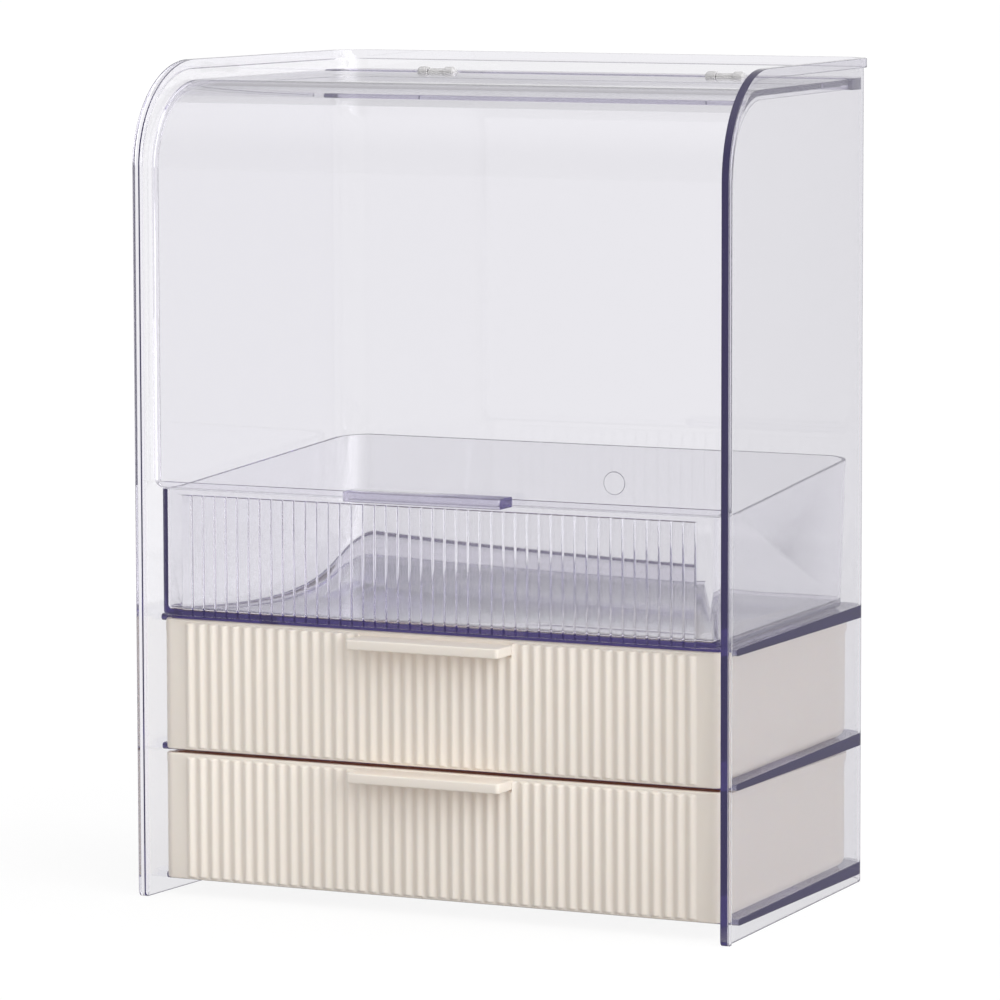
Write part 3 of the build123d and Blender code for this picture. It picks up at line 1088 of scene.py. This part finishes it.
@dataclass
class Tray:
    """The clear reeded tray on the top shelf."""

    case: Case
    reeds: Reeds = field(default_factory=FlatReeds)
    front: float = 8.4
    rear_low: float = 170.0
    rear_high: float = 176.5
    gap: float = 4.1
    corner: float = 14.0
    front_corner: float = 2.4
    foot_edge: float = 2.2
    edge: float = 0.25
    wall: float = 2.0
    floor: float = 2.7
    low: float = 127.2
    front_rim: float = 184.4
    rear_rim: float = 194.6
    spare: float = 8.0
    slope_start: float = 27.0
    reed_low: float = 127.6
    reed_high: float = 182.2
    foot: float = 0.3
    foot_radii: Span = (1.3, 1.7)
    foot_across: float = 110.0
    foot_depths: Span = (28.0, 120.0)

    def plan(self, height: float, inset: float) -> Plan:
        """Draw the tray's outline.

        Args:
            height: The height where it is drawn.
            inset: How far it is moved inward.

        Returns:
            The outline.
        """
        share = (height - self.low) / (self.rear_rim - self.low)
        rear = self.rear_low + share * (self.rear_high - self.rear_low) - inset
        front = self.front + inset
        reach = -self.case.wall - self.gap - inset
        halves = (self.case.half_at(depth) + reach for depth in (front, rear))
        return Plan(front, rear, *halves, height)

    def block(self, low: float, high: float, inset: float) -> Form:
        """Make the tray's block with its rounded corners.

        Args:
            low: The height of its underside.
            high: The height of its top.
            inset: How far its sides lie inside the tray's.

        Returns:
            The block.
        """
        form = Form.between(self.plan(low, inset), self.plan(high, inset))
        form.round_rear(MIDDLE, self.corner - inset, steps=14)
        form.round_front(MIDDLE, self.front_corner, steps=6)
        return form.round_edges(
            lambda edge: lies_at(edge, height=low)
            and (inset > 0 or not lies_at(edge, depth=self.front)),
            self.foot_edge,
            steps=6,
        )

    def build(self) -> None:
        """Build and dress the tray."""
        form = self.block(self.low, self.rear_rim, 0.0)
        reeds = self.reeds.form(self.front, self.reed_low, self.reed_high)
        form.combine(reeds, Joining.ADD)
        hollow = self.block(self.low + self.floor, self.rear_rim + self.spare, self.wall)
        form.combine(hollow, Joining.CUT)
        rear, rim = self.rear_high, self.rear_rim
        rim_line = ((-REACH, self.front_rim), (self.slope_start, self.front_rim), (rear, rim))
        beyond = ((rear + REACH, rim), (rear + REACH, rim + REACH), (-REACH, rim + REACH))
        form.combine(Form.wedge(rim_line + beyond, self.case.half), Joining.CUT)
        for across in (-self.foot_across, self.foot_across):
            for depth in self.foot_depths:
                middle = (across, depth, self.low)
                foot = Form.turned(middle, 2 * self.foot, self.foot_radii, sides=24)
                form.combine(foot, Joining.ADD)
        fit(form.piece("tray_moulding", self.edge), Body.CASE, Slot.CLEAR, "tray")


@dataclass
class Drawer:
    """One cream drawer: its reeded front, the box behind it and its bar."""

    case: Case
    body: Body
    shelf: float
    reeds: Reeds = field(default_factory=Reeds)
    front: float = 10.0
    rear: float = 168.0
    front_half: float = 136.98
    rear_half: float = 130.6
    front_low: float = -1.1
    front_high: float = 56.1
    front_wall: float = 2.5
    front_thickness: float = 4.7
    front_corner: float = 4.5
    front_edge: float = 0.8
    front_lap: float = 0.5
    lift: float = 0.3
    wall: float = 2.0
    corner: float = 12.0
    bottom_edge: float = 5.0
    rim_gap: float = 0.6
    storey: float = 58.6
    storey_setback: float = 15.0
    bead_height: float = 3.9
    bead_proud: float = 0.8
    reed_margin: float = 1.3
    reed_margin_low: float = 0.8
    pad_gap: float = 0.4
    handle_width: float = 75.2
    handle_thickness: float = 4.4
    handle_drop: float = 0.8

    def block(self, front: float, reach: float, heights: Span, corner: float) -> Form:
        """Make a block with the box's outline, its rear corners rounded.

        Args:
            front: The depth of its front.
            reach: How far its sides and its rear lie outside the box's.
            heights: Its underside and its top.
            corner: The radius of its rear corners.

        Returns:
            The block.
        """
        share = (front - self.front) / (self.rear - self.front)
        half = self.front_half + share * (self.rear_half - self.front_half)
        halves = (half + reach, self.rear_half + reach)
        form = Form.box((front, self.rear + reach), heights, halves)
        return form.round_rear(MIDDLE, corner, steps=12)

    def front_heights(self) -> Span:
        """Give the heights of the front's lower and upper edges."""
        return self.shelf + self.front_low, self.shelf + self.front_high

    def rim_height(self, depth: float) -> float:
        """Give the height of the box's rim, which follows the next shelf's underside."""
        ceiling = self.case.underside(self.storey, self.storey_setback, depth)
        return self.shelf + ceiling - self.rim_gap

    def trim(self, form: Form, drop: float = 0.0) -> Form:
        """Cut a form off along the rim's slope.

        Args:
            form: The form.
            drop: How far the cut lies under the rim.

        Returns:
            The form itself.
        """
        front, rear = (
            Vector((0, FRONT_Y + depth, self.rim_height(depth) - drop))
            for depth in (0.0, self.case.depth)
        )
        run = rear - front
        return form.slice(front, Vector((0, -run.z, run.y)))

    def box_form(self) -> Form:
        """Make the front panel and the box behind it, with its rim bead.

        Returns:
            The drawer without its reeds.
        """
        low, high = self.shelf + self.lift, self.shelf + self.front_high
        front = self.front + self.front_thickness - self.front_lap
        form = self.block(front, 0.0, (low, high), self.corner)
        form.round_edges(
            lambda edge: lies_at(edge, height=low) and not lies_at(edge, depth=front),
            self.bottom_edge,
            steps=8,
        )
        bead = self.block(front, self.bead_proud, (low, high), self.corner + self.bead_proud)
        cutter = self.block(0.0, REACH, (low - REACH, high + REACH), self.corner)
        bead.combine(self.trim(cutter, self.bead_height), Joining.CUT)
        self.trim(form.combine(bead, Joining.ADD))
        depths = (self.front, self.front + self.front_thickness)
        corner, edge = self.front_corner, self.front_edge
        panel = Form.slab(depths, self.front_heights(), self.front_half, corner, edge)
        form.combine(panel, Joining.ADD)
        wall = self.wall
        heights = (low + wall, high + REACH)
        hollow = self.block(self.front + self.front_wall, -wall, heights, self.corner - wall)
        hollow.round_edges(
            lambda edge: lies_at(edge, height=low + wall), self.bottom_edge - wall, steps=6
        )
        return form.combine(hollow, Joining.CUT)

    def build(self) -> None:
        """Build and dress the drawer and its bar."""
        name = self.body.value
        low, high = self.front_heights()
        handle_low = high - self.handle_drop - self.handle_thickness
        form = self.box_form()
        reeds = self.reeds.form(
            self.front,
            low + self.reed_margin_low,
            high - self.reed_margin,
            pad_half=self.handle_width / 2,
            pad_low=handle_low - self.pad_gap,
        )
        form.combine(reeds, Joining.ADD)
        fit(form.piece(f"{name}_moulding"), self.body, Slot.CREAM, name)
        sizes = (self.handle_width, handle_low, self.handle_thickness)
        Handle(self.body, Slot.CREAM, f"{name}_handle", *sizes, self.front).build()


@dataclass(frozen=True)
class SoftLight:
    """One broad soft light in the studio's air, brightest where it hangs."""

    toward: tuple[float, float, float]
    strength: float
    narrowness: float


@dataclass
class Studio:
    """The pale floor, the soft light and the camera at the photograph's angle."""

    eye: tuple[float, float, float] = (1151.17, -2384.24, 475.38)
    yaw: float = 25.921
    pitch: float = 6.424
    roll: float = -0.129
    focal_pixels: float = 5914.3
    picture: float = 1000.0
    sensor: float = 36.0
    farthest: float = 200000.0
    ambient: float = 0.15
    lights: tuple[SoftLight, ...] = (
        SoftLight((0.1, -0.1, 1.0), 1.15, 3.0),
        SoftLight((-0.90, -0.30, 0.30), 0.65, 5.0),
        SoftLight((0.85, -0.52, 0.22), 2.9, 6.0),
        SoftLight((0.95, 0.30, 0.30), 2.5, 5.0),
        SoftLight((-0.20, 1.00, 0.12), 0.58, 4.0),
    )
    horizon: float = 0.2
    horizon_top: float = 0.5
    floor_half: float = 60000.0
    floor_white: float = 0.88
    floor_bounce: float = 0.22
    floor_shade: float = 0.12
    deepest_path: int = 40
    diffuse_path: int = 5

    def build_camera(self) -> None:
        """Place the camera and make it the scene's own."""
        yaw, pitch, roll = (math.radians(angle) for angle in (self.yaw, self.pitch, self.roll))
        level = Vector((math.cos(yaw), math.sin(yaw), 0.0))
        flat = math.cos(pitch)
        ahead = Vector((-math.sin(yaw) * flat, math.cos(yaw) * flat, -math.sin(pitch)))
        above = level.cross(ahead)
        right = math.cos(roll) * level + math.sin(roll) * above
        up = math.cos(roll) * above - math.sin(roll) * level
        turn = Matrix((right, up, -ahead)).transposed().to_4x4()
        data = bpy.data.cameras.new("photo_camera")
        data.sensor_width = self.sensor
        data.lens = self.focal_pixels / self.picture * self.sensor
        data.clip_end = self.farthest * METRES
        camera = bpy.data.objects.new("photo_camera", data)
        camera.matrix_world = Matrix.Translation(Vector(self.eye) * METRES) @ turn
        bpy.context.scene.collection.objects.link(camera)
        bpy.context.scene.camera = camera

    def build_floor(self) -> None:
        """Lay the plain pale floor, which lights the case less than the camera sees it."""
        form = Form()
        bmesh.ops.create_grid(form.mesh, x_segments=1, y_segments=1, size=self.floor_half)
        floor = form.piece("floor")
        made = Finish("floor_paint")
        path = made.add("LightPath", "Is Reflection Ray")
        rays = {0: path, 1: path.node.outputs["Is Diffuse Ray"]}
        bounced = made.add("Math", "Value", rays, operation="MAXIMUM")
        ends = {"To Min": self.floor_white, "To Max": self.floor_bounce}
        paint = {
            "Base Color": (self.floor_shade,) * 3,
            "Roughness": 0.9,
            "Specular IOR Level": 0.0,
            "Emission Color": (1.0, 1.0, 1.0),
            "Emission Strength": made.add("MapRange", "Result", {"Value": bounced, **ends}),
        }
        floor.data.materials.append(made.coat(paint))

    def build_air(self) -> None:
        """Fill the air with the ambient light and the soft lights."""
        world = bpy.data.worlds.new("studio_air")
        world.use_nodes = True
        air = Graph(world.node_tree)
        aim = air.add("TexCoord", "Generated")
        total = air.add("Value", "Value")
        total.default_value = self.ambient
        for light in self.lights:
            toward = {0: aim, 1: Vector(light.toward).normalized()}
            facing = air.add("VectorMath", "Value", toward, operation="DOT_PRODUCT")
            clipped = air.add("Math", "Value", {0: facing, 1: 0.0}, operation="MAXIMUM")
            narrow = {0: clipped, 1: light.narrowness}
            narrowed = air.add("Math", "Value", narrow, operation="POWER")
            summed = {0: narrowed, 1: light.strength, 2: total}
            total = air.add("Math", "Value", summed, operation="MULTIPLY_ADD")
        height = air.add("SeparateXYZ", "Z", {"Vector": aim})
        ends = {"From Max": self.horizon_top, "To Min": self.horizon, "To Max": 0.0}
        fade = {"Value": height, **ends}
        low = air.add("MapRange", "Result", fade, interpolation_type="SMOOTHSTEP")
        whole = air.add("Math", "Value", {0: total, 1: low}, operation="ADD")
        air.set(air.tree.nodes["Background"], {"Color": (1.0, 1.0, 1.0), "Strength": whole})
        bpy.context.scene.world = world

    def build(self) -> None:
        """Build the floor, the light and the camera, and let light run deep into clear edges."""
        self.build_floor()
        self.build_air()
        self.build_camera()
        bpy.context.scene.view_settings.view_transform = "Standard"
        bpy.context.scene.view_settings.look = "None"
        cycles = bpy.context.scene.cycles
        cycles.max_bounces = self.deepest_path
        cycles.glossy_bounces = self.deepest_path
        cycles.transmission_bounces = self.deepest_path
        cycles.diffuse_bounces = self.diffuse_path


def main() -> None:
    """Dress the whole case and build its studio."""
    logging.basicConfig(level=logging.INFO, format="%(name)s: %(message)s")
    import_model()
    hinges = (Hinge("left", -72.8), Hinge("right", 72.8))
    case = Case(hinges)
    low, middle = case.shelf_tops[:2]
    taller = {"front_low": -1.6, "front_high": 57.5, "handle_drop": 2.2}
    upper = Drawer(case, Body.UPPER_DRAWER, middle, **taller)
    lower = Drawer(case, Body.LOWER_DRAWER, low)
    for part in (case, *hinges, Lid(case), Tray(case), upper, lower, Studio()):
        part.build()


if __name__ == "__main__":
    main()
